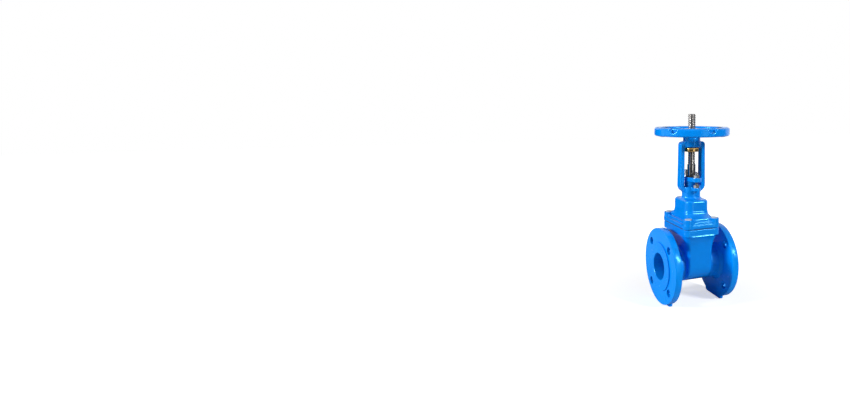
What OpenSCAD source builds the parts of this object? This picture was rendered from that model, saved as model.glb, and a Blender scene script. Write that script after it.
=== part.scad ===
// Rising stem gate valve with an outside screw and yoke, nominal bore 65.
// Every height named "_h" is measured from the pipe's axis. The finished model
// stands on its feet at z = 0, with +X along the pipe and +Z up the stem.

/* [Pipe ends] */
// Length from the raised face of one end to that of the other
face_to_face = 170; // [166:2:210]
// Outside diameter of an end flange
flange_d = 185; // [180:1:200]
// Thickness of an end flange behind its raised face
flange_t = 16; // [12:1:20]
// Diameter of the raised joint face
raised_d = 118; // [105:1:122]
// How far the joint face stands out of the flange
raised_h = 3; // [1:0.5:4]
// Diameter of the circle that the flange bolts lie on
bolt_circle_d = 145; // [142:1:150]
// Diameter of a flange bolt hole
bolt_hole_d = 19; // [14:1:20]
// Diameter of the water way
bore_d = 65; // [60:1:68]
// Width of the chamfer where the water way meets an end face
mouth_chamfer = 1; // [0.5:0.5:2]
// Outside diameter of the pipe between a flange and the gate chamber
neck_d = 82; // [78:1:88]
// Width of the flare between the pipe and a flange
neck_flare = 7; // [3:1:10]
// Width of the standing foot under a flange
foot_w = 80; // [60:2:100]
// Thickness of the standing foot
foot_t = 6; // [4:1:10]
// Rounding of the foot's corners
foot_r = 8; // [2:1:8]

/* [Gate chamber] */
// Half length of the chamber along the pipe, at its top
chamber_top_x = 37; // [34:1:44]
// Half length of the chamber along the pipe, beside the water way
chamber_low_x = 31; // [29:1:34]
// Height at which the chamber starts to widen upwards
waist_h = 44; // [41:1:56]
// Half width of the chamber across the pipe
chamber_y = 55; // [52:1:60]
// Widening of the chamber across the pipe, from waist to top
chamber_flare_y = 2; // [0:0.5:4]
// Half width of the chamber across the pipe, low down beside the pipe
chamber_foot_y = 30; // [26:1:40]
// Depth below the pipe's axis of that lower width
chamber_foot_drop = 27; // [22:1:32]
// How far the chamber's underside lies above that of the pipe
chamber_keel_gap = 2; // [1:0.5:4]
// Rounding of the chamber's upright corners
chamber_r = 11; // [6:1:16]
// Height of the joint between body and bonnet
joint_h = 98; // [94:1:106]
// Thickness of the body's top flange
top_flange_t = 17; // [12:1:22]
// Height of the taper under the body's top flange
top_taper_h = 15; // [8:1:18]
// Spacing of the bonnet bolts along the pipe
bolt_x = 66.8; // [64:0.4:72]
// Spacing of the bonnet bolts across the pipe
bolt_y = 106.8; // [102:0.4:114]
// Radius of the metal round a bonnet bolt
boss_r = 12.5; // [10.5:0.5:14]

/* [Bonnet] */
// Thickness of the gasket between body and bonnet
gasket_t = 1.2; // [0.8:0.2:3]
// How far the gasket's edge lies back from the flanges' edge
gasket_inset = 1.6; // [0.4:0.2:3]
// Thickness of the bonnet's flange
bonnet_flange_t = 10.3; // [8:0.5:14]
// Height of the bolt bosses over the gasket
bonnet_boss_t = 22.3; // [20:0.5:28]
// Half length of the shoulder along the pipe
shoulder_x = 33; // [31:0.5:34]
// Half width of the shoulder across the pipe
shoulder_y = 61; // [54:1:64]
// Height over the gasket at which the shoulder meets the box
shoulder_t = 36; // [32:1:44]
// Height over the gasket at which the shoulder's flat lower slope runs into the box
flat_slope_t = 32; // [28:0.5:34]
// Half length along the pipe of the foot of the shoulder's steep upper slope
steep_x = 31.4; // [30:0.2:33]
// Half width across the pipe of the foot of that upper slope
steep_y = 50; // [44:0.5:54]
// Half length along the pipe of the step round the shoulder's foot
step_x = 39.5; // [36:0.5:42]
// Half width across the pipe of the step round the shoulder's foot
step_y = 63.7; // [62:0.1:65]
// Height of that step over the gasket
step_t = 16.2; // [12:0.2:18]
// Half length of the box along the pipe
box_x = 30; // [27:0.5:33]
// Half width of the box across the pipe
box_y = 41; // [37:0.5:46]
// Rounding of the box's upright corners
box_r = 17; // [8:1:18]
// Height of the box over the gasket
box_t = 63; // [60:1:72]
// Rounding of the box's top edge
box_edge = 7; // [2:0.5:8]
// Outside diameter of the stuffing box neck
packing_neck_d = 45; // [42:0.5:46]
// Width of the flare where the neck meets the box
neck_foot = 3; // [1:0.5:5]
// Height of the flare where the neck meets the box
neck_foot_t = 7; // [3:0.5:10]

/* [Yoke] */
// Height of the yoke's lower end over the box
yoke_gap = 16; // [10:1:22]
// Thickness of the sill under the window
sill_t = 7; // [5:0.5:12]
// Height of the window between the legs
window_h = 100; // [96:1:120]
// Thickness of the lintel over the window
lintel_t = 13; // [10:0.5:18]
// Half width of the yoke along the pipe, at its top
yoke_top_x = 31.6; // [30.5:0.1:34]
// Half width of the yoke along the pipe, at its lower end
yoke_low_x = 33.4; // [31:0.1:36]
// Half depth of the yoke's legs across the pipe
leg_y = 9.5; // [7:0.5:12]
// Half width of the window
window_x = 21.8; // [20.5:0.2:22.4]
// Rounding of the yoke's lower corners
yoke_low_r = 16; // [8:1:18]
// Rounding of the yoke's upper corners
yoke_top_r = 7; // [3:1:10]
// Rounding of the window's corners
window_r = 5; // [2:1:8]
// Diameter of the hub between the yoke's shoulders
hub_d = 43.5; // [42:0.5:45]
// Diameter of the bearing collar on the hub
collar_d = 41; // [36:0.5:42]
// Height of the bearing collar
collar_t = 9.5; // [8:0.5:12]

/* [Gland] */
// Height of the stuffing box rim over the window's sill
packing_rim = 5.5; // [2:0.5:8]
// Inside diameter of the stuffing box
packing_d = 32; // [28:0.5:34]
// Depth of the stuffing box
packing_depth = 24; // [16:1:26]
// Gap between the stuffing box rim and the gland flange
gland_stand = 13.5; // [10:0.5:20]
// Thickness of the gland flange
gland_t = 10; // [7:0.5:12]
// Radius of the gland flange round the stem
gland_r = 17; // [16:0.5:18]
// Radius of the gland flange's ends
gland_end_r = 11; // [9:0.5:13]
// Depth to which the gland's nose enters the stuffing box
gland_entry = 10; // [4:1:14]
// Distance from the stem's axis to a gland stud
stud_y = 28; // [27:0.5:32]
// Diameter of a gland stud
stud_d = 8; // [6:0.5:10]
// Length of a gland stud past its upper nut
stud_end = 7.8; // [2:0.2:12]
// Thickness of a stud lug
lug_t = 8; // [6:1:12]
// Radius of a stud lug
lug_r = 9; // [8:0.5:11]
// Width across flats of a gland stud's nuts
stud_nut_af = 13; // [12:0.5:15]
// Thickness of the nut on the gland flange
stud_nut_t = 6.5; // [5:0.5:8]
// Thickness of the nut on the lug
lock_nut_t = 6.5; // [4:0.5:8]
// Diameter of the wiper ring round the stem
wiper_d = 29; // [26:0.5:31]
// Thickness of the wiper ring
wiper_t = 2.5; // [1.5:0.5:4]

/* [Stem and gate] */
// Diameter of the smooth stem
stem_d = 20; // [18.5:0.5:20.5]
// Diameter of the stem over its thread
thread_d = 18; // [16:0.5:18]
// Chamfer on the stem's top
stem_chamfer = 1.5; // [0.5:0.5:3]
// How far the gate hangs above its shut place
gate_lift = 38; // [34:1:42]
// How far the gate can still rise
open_travel = 27; // [24:1:30]
// Smooth stem left below the stem nut when the gate is fully raised
shank_gap = 3; // [2:0.5:5]
// Depth of the stem's top in the stem nut when the gate is shut
stem_sunk = 4; // [2:1:8]
// Thickness of the gate along the pipe
gate_t = 35; // [30:0.5:37]
// How far the gate's shoulders and crown lie back from its faces
gate_inset = 2; // [1:0.5:4]
// Half width of the gate's shoulders
gate_shoulder_y = 40.8; // [38:0.2:41.2]
// Height of the gate's shoulders over the pipe's axis, when shut
gate_shoulder_top = 50; // [46:1:52]
// Half width of the gate's crown
gate_crown_y = 26; // [22:1:28]
// Height of the gate's crown over the pipe's axis, when shut
gate_crown_top = 68; // [64:1:70]
// Depth of the stem's seat in the gate
stem_seat = 22; // [14:1:26]
// Rounding of the gate's upright edges
gate_r = 3; // [1:0.5:5]

/* [Stem nut and handwheel] */
// Diameter of the stem nut's flange
nut_flange_d = 35; // [32:0.5:37]
// Thickness of the stem nut's flange
nut_flange_t = 9.5; // [7:0.5:12]
// Thickness of the thrust washer under the yoke's hub
washer_t = 1.5; // [1:0.5:3]
// Diameter of the stem nut's barrel in the yoke
barrel_d = 28; // [26:0.5:29]
// Diameter of the stem nut's upper end, in the wheel's hub
spigot_d = 24; // [22.5:0.5:25]
// Outside diameter of the handwheel
wheel_d = 178; // [160:2:184]
// Height of the rim's lower edge over the hub's
rim_rise = 3.5; // [0:0.5:8]
// Height of the handwheel's rim
rim_t = 19.5; // [15:0.5:22]
// Radial width of the handwheel's rim
rim_w = 15; // [13:0.5:20]
// Rounding of the rim's edges
rim_r = 4; // [2:0.5:6]
// Number of finger scoops
scoop_count = 6; // [3:1:8]
// Width of a finger scoop
scoop_w = 21; // [14:1:24]
// Depth of a finger scoop from the rim's upper edge
scoop_h = 11.5; // [8:0.5:14]
// Radial depth of a finger scoop
scoop_in = 9; // [5:0.5:11]
// Direction of the first finger scoop
scoop_turn = 35; // [0:1:60]
// Diameter of the handwheel's hub
wheel_hub_d = 44; // [42:1:50]
// Thickness of the handwheel's hub
wheel_hub_t = 10.5; // [9:0.5:12]
// Number of spokes
spoke_count = 3; // [3:1:5]
// Width of a spoke
spoke_w = 15; // [10:1:20]
// Thickness of a spoke
spoke_t = 6; // [4:0.5:6]
// Thickness of the washer under the wheel nut
wheel_washer_t = 2; // [1:0.5:3]
// Outside diameter of the washer under the wheel nut
wheel_washer_d = 40; // [36:1:42]
// Thickness of the wheel nut
wheel_nut_t = 7.5; // [6:0.5:8]
// Width across flats of the wheel nut
wheel_nut_af = 36; // [34:1:40]

/* [Bonnet bolts] */
// Thread diameter of a bonnet bolt
screw_d = 10; // [8:1:12]
// Diameter of a bonnet bolt's head
screw_head_d = 16; // [14:0.5:18]
// Height of a bonnet bolt's head
screw_head_t = 10; // [8:0.5:12]
// Length of a bonnet bolt under its head
screw_length = 26; // [20:1:28]
// Thickness of the seal over a bolt's head
seal_t = 4; // [3:0.5:5]
// How far the seal stands out of its boss
seal_proud = 1.6; // [0.6:0.2:2.4]

/* [Fits] */
// Radial clearance of a shaft or thread that turns or slides
running = 0.08; // [0.02:0.01:0.1]
// Clearance between the shut gate and its seat
seat_gap = 0.3; // [0.2:0.05:0.5]
// Clearance beside the gate in its chamber
gate_gap = 1; // [0.6:0.1:1.2]
// Room over the gate when it is fully raised
gate_room = 5; // [5:1:7]
// Gap between the wheel's hub and the bearing collar
hub_gap = 0.5; // [0.3:0.1:0.8]
// Radial clearance of a bolt or stud in its hole
bolt_gap = 0.5; // [0.2:0.1:1]

/* [Hidden] */
$fn = 64;

blue = [0.03, 0.45, 0.92];
zinc = "silver";

// Depth by which a cutting solid passes the face that it cuts
cut = 1;
// Thickness of the slices that a hull joins
slice_t = 0.1;
axis_z = flange_d / 2;
flange_in = face_to_face / 2 - raised_h - flange_t;
top_flange_h = joint_h - top_flange_t;
chamber_top_h = top_flange_h - top_taper_h;

bonnet_h = joint_h + gasket_t;
boss_top_h = bonnet_h + bonnet_boss_t;
shoulder_top_h = bonnet_h + shoulder_t;
box_top_h = bonnet_h + box_t;
yoke_low_h = box_top_h + yoke_gap;
window_low_h = yoke_low_h + sill_t;
window_top_h = window_low_h + window_h;
yoke_top_h = window_top_h + lintel_t;
collar_top_h = yoke_top_h + collar_t;

packing_rim_h = window_low_h + packing_rim;
gland_h = packing_rim_h + gland_stand;
gland_top_h = gland_h + gland_t;
stud_low_h = packing_rim_h - lug_t;
stud_top_h = gland_top_h + stud_nut_t + stud_end;

washer_h = window_top_h - washer_t;
nut_flange_h = washer_h - nut_flange_t;
wheel_h = collar_top_h + hub_gap;
rim_low_h = wheel_h + rim_rise;
wheel_washer_h = wheel_h + wheel_hub_t;
wheel_nut_h = wheel_washer_h + wheel_washer_t;
nut_top_h = wheel_nut_h + wheel_nut_t;

thread_low_h = nut_flange_h - open_travel - shank_gap;
stem_top_h = nut_top_h + gate_lift - stem_sunk;

seal_top_h = boss_top_h + seal_proud;
seal_h = seal_top_h - seal_t;
bolt_head_h = seal_h - screw_head_t;
screw_low_h = bolt_head_h - screw_length;
top_half_x = bolt_x / 2 + boss_r;
top_half_y = bolt_y / 2 + boss_r;
bolt_corners = [[-1, -1], [1, -1], [1, 1], [-1, 1]];

gate_floor = 2;
cavity_x = gate_t / 2 + gate_gap;
cavity_y = gate_shoulder_y + gate_gap;
cavity_step_h = gate_shoulder_top + gate_lift + open_travel + gate_room;
crown_room_h = gate_crown_top + gate_lift + open_travel + gate_room;

// Raises heights measured from the pipe's axis to the standing model
module on_axis() {
    translate([0, 0, axis_z]) children();
}

// Outline of a rectangle with round corners, from its half sizes
module round_rect(x, y, r) {
    square([2 * x, 2 * (y - r)], center = true);
    square([2 * (x - r), 2 * y], center = true);
    for (sx = [-1, 1], sy = [-1, 1])
        translate([sx * (x - r), sy * (y - r)]) circle(r);
}

// Upright block with round upright corners between two heights
module block(x, y, r, low, high) {
    translate([0, 0, low]) linear_extrude(high - low) round_rect(x, y, r);
}

// Thin slice of such a block, for hulls
module slice(x, y, r, h) {
    $fn = 32;
    translate([0, 0, h]) linear_extrude(slice_t) round_rect(x, y, r);
}

// Cylinder along the pipe between two places
module along_pipe(r, low, high) {
    translate([low, 0, 0]) rotate([0, 90, 0]) cylinder(r = r, h = high - low);
}

// Upright cylinder between two heights
module upright(r, low, high) {
    translate([0, 0, low]) cylinder(r = r, h = high - low);
}

// Hexagon of a width across flats between two heights
module hexagon(af, low, high) {
    translate([0, 0, low]) cylinder(d = af / cos(30), h = high - low, $fn = 6);
}

// Places its children at bonnet bolt n, counted from the left front corner
module at_bolt(n) {
    corner = bolt_corners[n - 1];
    translate([corner[0] * bolt_x / 2, corner[1] * bolt_y / 2, 0]) children();
}

// Places its children at every bonnet bolt
module at_bolts() {
    for (n = [1:4]) at_bolt(n) children();
}

// One end of the body: pipe, flange, raised face and foot. turn 180 puts it on the left
module end_flange(turn) {
    color(blue) on_axis() rotate([0, 0, turn]) difference() {
        union() {
            along_pipe(flange_d / 2, flange_in, flange_in + flange_t);
            along_pipe(raised_d / 2, flange_in, face_to_face / 2);
            along_pipe(neck_d / 2, chamber_low_x, flange_in + cut);
            translate([flange_in - neck_flare, 0, 0]) rotate([0, 90, 0])
                cylinder(r1 = neck_d / 2, r2 = neck_d / 2 + neck_flare, h = neck_flare);
            translate([flange_in, 0, -axis_z / 2]) rotate([90, 0, 90])
                linear_extrude(foot_t) round_rect(foot_w / 2, axis_z / 2, foot_r);
        }
        along_pipe(bore_d / 2, chamber_low_x - cut, face_to_face / 2 + cut);
        translate([face_to_face / 2 - mouth_chamfer, 0, 0]) rotate([0, 90, 0])
            cylinder(d1 = bore_d, d2 = bore_d + 4 * mouth_chamfer, h = 2 * mouth_chamfer);
        for (a = [45:90:315])
            rotate([a, 0, 0]) translate([0, bolt_circle_d / 2, 0])
                along_pipe(bolt_hole_d / 2, flange_in - cut, face_to_face / 2);
    }
}

// Outer form of the gate chamber below the top flange
module chamber() {
    along_pipe(neck_d / 2, -chamber_low_x, chamber_low_x);
    hull() {
        slice(chamber_low_x, chamber_y, chamber_r, waist_h);
        slice(chamber_low_x, chamber_y - chamber_flare_y, chamber_r, 0);
        slice(chamber_low_x, chamber_foot_y, chamber_r, -chamber_foot_drop);
        slice(chamber_low_x, chamber_r, chamber_r, chamber_keel_gap - neck_d / 2);
    }
    hull() {
        slice(chamber_low_x, chamber_y, chamber_r, waist_h);
        slice(chamber_top_x, chamber_y + chamber_flare_y, chamber_r, chamber_top_h);
    }
    hull() {
        slice(chamber_top_x, chamber_y + chamber_flare_y, chamber_r, chamber_top_h);
        slice(top_half_x, top_half_y, boss_r, top_flange_h);
    }
}

// Space that the gate moves in, from the body's floor up into the bonnet
module gate_space() {
    block(cavity_x, cavity_y, gate_gap, gate_floor - gate_gap, cavity_step_h);
    block(cavity_x, gate_crown_y + gate_gap, gate_gap, cavity_step_h - cut, crown_room_h);
}

module body() {
    color(blue) on_axis() difference() {
        union() {
            chamber();
            block(top_half_x, top_half_y, boss_r, top_flange_h, joint_h);
        }
        along_pipe(bore_d / 2, -chamber_low_x - cut, chamber_low_x + cut);
        gate_space();
        at_bolts() upright(screw_d / 2, screw_low_h, joint_h + cut);
    }
}

// Outline of the yoke: legs that lean in towards the top, with round corners
module yoke_outline() {
    $fn = 32;
    hull() for (s = [-1, 1]) {
        translate([s * (yoke_low_x - yoke_low_r), yoke_low_h + yoke_low_r])
            circle(yoke_low_r);
        translate([s * (yoke_top_x - yoke_top_r), yoke_top_h - yoke_top_r])
            circle(yoke_top_r);
    }
}

// Yoke: two legs, a sill and a lintel round the window, a hub and its collar
module yoke() {
    rotate([90, 0, 0]) linear_extrude(2 * leg_y, center = true) difference() {
        yoke_outline();
        translate([0, window_low_h + window_h / 2])
            round_rect(window_x, window_h / 2, window_r);
    }
    upright(hub_d / 2, window_top_h, yoke_top_h);
    upright(collar_d / 2, yoke_top_h - cut, collar_top_h);
}

// Lugs for the gland studs, in front of and behind the stuffing box
module stud_lugs() {
    for (s = [-1, 1])
        translate([0, 0, stud_low_h]) linear_extrude(lug_t) {
            translate([0, s * stud_y]) circle(lug_r);
            translate([0, s * stud_y / 2]) square([2 * lug_r, stud_y], center = true);
        }
}

// Box over the gate, with a round top and a hollow shoulder round its foot. The hulls
// start and end at heights of their own, so that they cross and share no face
module bonnet_box() {
    block(step_x, step_y, boss_r, bonnet_h, bonnet_h + step_t);
    hull() {
        slice(shoulder_x, shoulder_y, box_r, bonnet_h + cut);
        slice(shoulder_x, shoulder_y, box_r, boss_top_h - cut);
        slice(box_x - cut, box_y - cut, box_r - cut, bonnet_h + flat_slope_t);
    }
    hull() {
        slice(steep_x, steep_y, box_r, bonnet_h + 2 * cut);
        slice(steep_x, steep_y, box_r, boss_top_h - cut);
        slice(box_x - cut, box_y - cut, box_r - cut, shoulder_top_h);
    }
    hull() {
        slice(box_x, box_y, box_r, bonnet_h + 3 * cut);
        for (a = [0:30:90]) {
            inset = box_edge * (1 - cos(a));
            slice(box_x - inset, box_y - inset, box_r - inset,
                  box_top_h - box_edge * (1 - sin(a)) - slice_t);
        }
    }
}

module bonnet() {
    color(blue) on_axis() difference() {
        union() {
            block(top_half_x, top_half_y, boss_r, bonnet_h, bonnet_h + bonnet_flange_t);
            at_bolts() upright(boss_r, bonnet_h, boss_top_h);
            bonnet_box();
            upright(packing_neck_d / 2, box_top_h - box_edge, packing_rim_h);
            translate([0, 0, box_top_h - neck_foot]) cylinder(
                r1 = packing_neck_d / 2 + neck_foot, r2 = packing_neck_d / 2,
                h = neck_foot + neck_foot_t);
            yoke();
            stud_lugs();
        }
        gate_space();
        upright(stem_d / 2 + running, crown_room_h - cut, packing_rim_h + cut);
        upright(packing_d / 2, packing_rim_h - packing_depth, packing_rim_h + cut);
        upright(barrel_d / 2 + running, window_top_h - cut, collar_top_h + cut);
        for (s = [-1, 1]) translate([0, s * stud_y, 0])
            upright(stud_d / 2, stud_low_h - cut, packing_rim_h + cut);
        at_bolts() {
            upright(screw_d / 2 + bolt_gap, bonnet_h - cut, bolt_head_h + cut);
            upright(screw_head_d / 2 + bolt_gap, bolt_head_h, shoulder_top_h);
        }
    }
}

module bonnet_gasket() {
    color("black") on_axis() difference() {
        block(top_half_x - gasket_inset, top_half_y - gasket_inset,
              boss_r - gasket_inset, joint_h, bonnet_h);
        block(cavity_x + gate_gap, cavity_y + gate_gap, 2 * gate_gap,
              joint_h - cut, bonnet_h + cut);
        at_bolts() upright(screw_d / 2 + bolt_gap, joint_h - cut, bonnet_h + cut);
    }
}

module bonnet_bolt(n) {
    color(zinc) on_axis() at_bolt(n) {
        upright(screw_head_d / 2, bolt_head_h, seal_h);
        upright(screw_d / 2, screw_low_h, bolt_head_h + cut);
    }
}

module bolt_seal(n) {
    color("lightgray") on_axis() at_bolt(n)
        upright((screw_head_d + bolt_gap) / 2, seal_h, seal_top_h);
}

// Outline of the gland flange: a disc drawn out to two round ends
module gland_outline() {
    $fn = 32;
    for (s = [-1, 1]) hull() {
        translate([0, s * stud_y]) circle(gland_end_r);
        circle(gland_r);
    }
}

module gland_flange() {
    color(blue) on_axis() difference() {
        union() {
            translate([0, 0, gland_h]) linear_extrude(gland_t) gland_outline();
            upright(packing_d / 2 - running, packing_rim_h - gland_entry, gland_h + cut);
        }
        upright(stem_d / 2 + running, packing_rim_h - gland_entry - cut, gland_top_h + cut);
        for (s = [-1, 1]) translate([0, s * stud_y, 0])
            upright(stud_d / 2 + bolt_gap, gland_h - cut, gland_top_h + cut);
    }
}

module stem_wiper() {
    color("black") on_axis() difference() {
        upright(wiper_d / 2, gland_top_h, gland_top_h + wiper_t);
        upright(stem_d / 2 + running, gland_top_h - cut, gland_top_h + wiper_t + cut);
    }
}

module gland_stud(side) {
    color(zinc) on_axis() translate([0, side * stud_y, 0])
        upright(stud_d / 2, stud_low_h, stud_top_h);
}

module stud_nut(side, low, thickness) {
    color(zinc) on_axis() translate([0, side * stud_y, 0]) difference() {
        hexagon(stud_nut_af, low, low + thickness);
        upright(stud_d / 2, low - cut, low + thickness + cut);
    }
}

module thrust_washer() {
    color("black") on_axis() difference() {
        upright(nut_flange_d / 2, washer_h, window_top_h);
        upright(barrel_d / 2 + running, washer_h - cut, window_top_h + cut);
    }
}

module stem_nut() {
    color("goldenrod") on_axis() difference() {
        union() {
            upright(nut_flange_d / 2, nut_flange_h, washer_h - running);
            upright(barrel_d / 2, nut_flange_h, wheel_h);
            upright(spigot_d / 2, nut_flange_h, nut_top_h);
        }
        upright(thread_d / 2 + running, nut_flange_h - cut, nut_top_h + cut);
    }
}

// Ring of the handwheel's rim, with rounded edges
module rim() {
    rotate_extrude($fn = 128)
        translate([wheel_d / 2 - rim_w / 2, rim_low_h + rim_t / 2])
            round_rect(rim_w / 2, rim_t / 2, rim_r);
}

// Finger scoop in the rim's upper outer edge: a round floor with upright sides
module scoop() {
    floor_h = rim_low_h + rim_t - scoop_h;
    translate([wheel_d / 2 - scoop_in, 0, floor_h + scoop_w / 2]) {
        rotate([0, 90, 0]) cylinder(d = scoop_w, h = scoop_in + cut);
        translate([0, -scoop_w / 2, 0]) cube([scoop_in + cut, scoop_w, scoop_h]);
    }
}

module handwheel() {
    color(blue) on_axis() difference() {
        union() {
            rim();
            upright(wheel_hub_d / 2, wheel_h, wheel_washer_h);
            for (i = [0:spoke_count - 1])
                rotate([0, 0, scoop_turn + 180 / scoop_count + i * 360 / spoke_count])
                    translate([0, -spoke_w / 2, rim_low_h])
                        cube([wheel_d / 2 - rim_w / 2, spoke_w, spoke_t]);
        }
        upright(spigot_d / 2, wheel_h - cut, wheel_washer_h + cut);
        for (i = [0:scoop_count - 1])
            rotate([0, 0, scoop_turn + i * 360 / scoop_count]) scoop();
    }
}

module wheel_washer() {
    color(zinc) on_axis() difference() {
        upright(wheel_washer_d / 2, wheel_washer_h, wheel_nut_h);
        upright(spigot_d / 2, wheel_washer_h - cut, wheel_nut_h + cut);
    }
}

module wheel_nut() {
    color(zinc) on_axis() difference() {
        hexagon(wheel_nut_af, wheel_nut_h, nut_top_h);
        upright(spigot_d / 2, wheel_nut_h - cut, nut_top_h + cut);
    }
}

module stem() {
    seat_h = gate_crown_top + gate_lift - stem_seat;
    run_out = (stem_d - thread_d) / 2;
    color("lightsteelblue") on_axis() {
        upright(stem_d / 2, seat_h, thread_low_h - run_out);
        translate([0, 0, thread_low_h - run_out])
            cylinder(d1 = stem_d, d2 = thread_d, h = run_out);
        upright(thread_d / 2, thread_low_h - run_out, stem_top_h - stem_chamfer);
        translate([0, 0, stem_top_h - stem_chamfer])
            cylinder(r1 = thread_d / 2, r2 = thread_d / 2 - stem_chamfer, h = stem_chamfer);
    }
}

module wedge() {
    seat_r = bore_d / 2 - seat_gap;
    half_t = gate_t / 2;
    core_t = half_t - gate_inset;
    color("dimgray") on_axis() translate([0, 0, gate_lift]) difference() {
        union() {
            along_pipe(seat_r, -half_t, half_t);
            block(half_t, seat_r, gate_r, 0, gate_shoulder_top);
            block(core_t, gate_shoulder_y, gate_r, gate_floor, gate_shoulder_top);
            block(core_t, gate_crown_y, gate_r, gate_floor, gate_crown_top);
        }
        upright(stem_d / 2, gate_crown_top - stem_seat, gate_crown_top + cut);
    }
}

body();
end_flange(180);  // left_flange
end_flange(0);  // right_flange
bonnet();
bonnet_gasket();
bonnet_bolt(1);  // bonnet_bolt_1
bonnet_bolt(2);  // bonnet_bolt_2
bonnet_bolt(3);  // bonnet_bolt_3
bonnet_bolt(4);  // bonnet_bolt_4
bolt_seal(1);  // bolt_seal_1
bolt_seal(2);  // bolt_seal_2
bolt_seal(3);  // bolt_seal_3
bolt_seal(4);  // bolt_seal_4
gland_flange();
stem_wiper();
gland_stud(-1);  // gland_stud_front
gland_stud(1);  // gland_stud_rear
stud_nut(-1, gland_top_h, stud_nut_t);  // gland_nut_front
stud_nut(1, gland_top_h, stud_nut_t);  // gland_nut_rear
stud_nut(-1, packing_rim_h, lock_nut_t);  // lock_nut_front
stud_nut(1, packing_rim_h, lock_nut_t);  // lock_nut_rear
thrust_washer();
stem_nut();
handwheel();
wheel_washer();
wheel_nut();
stem();
wedge();
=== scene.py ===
"""Looks of a rising stem gate valve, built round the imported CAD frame.

X runs along the pipe, Y across it and Z up the stem. The modelling functions work in mm, with
heights over the pipe's axis. Materials, lights and the camera are in metres.
"""
import math

import bpy
import numpy as np
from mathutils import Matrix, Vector


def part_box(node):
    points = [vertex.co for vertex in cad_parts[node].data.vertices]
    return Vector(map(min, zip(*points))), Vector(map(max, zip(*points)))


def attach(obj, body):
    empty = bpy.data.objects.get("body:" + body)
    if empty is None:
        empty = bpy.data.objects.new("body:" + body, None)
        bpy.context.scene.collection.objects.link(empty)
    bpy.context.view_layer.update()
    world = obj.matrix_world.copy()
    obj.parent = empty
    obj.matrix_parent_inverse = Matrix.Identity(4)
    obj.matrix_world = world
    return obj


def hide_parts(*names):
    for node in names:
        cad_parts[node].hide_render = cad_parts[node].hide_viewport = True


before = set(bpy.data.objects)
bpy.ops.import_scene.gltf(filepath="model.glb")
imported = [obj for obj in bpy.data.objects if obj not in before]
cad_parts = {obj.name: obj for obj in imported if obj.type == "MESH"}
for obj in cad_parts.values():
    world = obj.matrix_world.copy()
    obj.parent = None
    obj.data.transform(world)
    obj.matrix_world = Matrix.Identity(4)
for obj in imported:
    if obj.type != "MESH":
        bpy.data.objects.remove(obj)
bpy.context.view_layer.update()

flange_low, flange_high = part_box("left_flange")
AXIS = (flange_low[2] + flange_high[2]) / 2 * 1000


# ---------------------------------------------------------------- places in the frame


def low(node):
    """A node's lowest height."""
    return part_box(node)[0][2] * 1000 - AXIS


def high(node):
    """A node's greatest height."""
    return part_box(node)[1][2] * 1000 - AXIS


def half_size(node, axis):
    """How far a node reaches from the stem's axis, along x (0) or y (1), to a tenth of a mm."""
    return round(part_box(node)[1][axis] * 1000, 1)


def centre_of(node):
    """Middle of a node in x and y."""
    a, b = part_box(node)
    return (a[0] + b[0]) * 500, (a[1] + b[1]) * 500


# ---------------------------------------------------------------- solids as fields
# A field is negative inside a solid and grows by about 1 for each mm away from its skin.
# The last number given to rect, fuse, both and minus is the radius of the edge that they make.


def rect(u, v, hu, hv, r):
    """Rectangle of half sizes hu, hv with round corners."""
    qu, qv = np.abs(u) - hu + r, np.abs(v) - hv + r
    return (np.hypot(np.maximum(qu, 0), np.maximum(qv, 0))
            + np.minimum(np.maximum(qu, qv), 0) - r)


def span(t, a, b):
    """Slab between a and b."""
    return np.maximum(a - t, t - b)


def rise(t, a, b):
    """0 up to a, 1 from b on, and a straight ramp between them."""
    return np.clip((t - a) / (b - a), 0, 1)


def fuse(a, b, r):
    """Union with a hollow fillet of radius r."""
    return np.maximum(r, np.minimum(a, b)) - np.hypot(np.maximum(r - a, 0), np.maximum(r - b, 0))


def both(a, b, r):
    """Intersection whose new edge is rounded to radius r."""
    return np.minimum(-r, np.maximum(a, b)) + np.hypot(np.maximum(r + a, 0), np.maximum(r + b, 0))


def minus(a, b, r):
    """What is left of a when b is cut out of it, with that edge rounded to radius r."""
    return both(a, -b, r)


def gradient(field, p, h=0.05):
    """The field's slope at each point, from its values h away on both sides."""
    g = np.empty_like(p)
    for i in range(3):
        d = np.zeros(3)
        d[i] = h
        g[:, i] = (field(*(p + d).T) - field(*(p - d).T)) / (2 * h)
    return g


FLATTEST = 0.04  # least squared slope that a step towards the skin reckons with


def onto(field, p, longest, times=4):
    """Moves points onto the field's skin, by steps of at most the longest."""
    for _ in range(times):
        g = gradient(field, p)
        step = -field(*p.T)[:, None] * g / np.maximum((g * g).sum(1), FLATTEST)[:, None]
        length = np.linalg.norm(step, axis=1)[:, None]
        p = p + step * np.minimum(1, longest / np.maximum(length, 1e-9))
    return p


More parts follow.
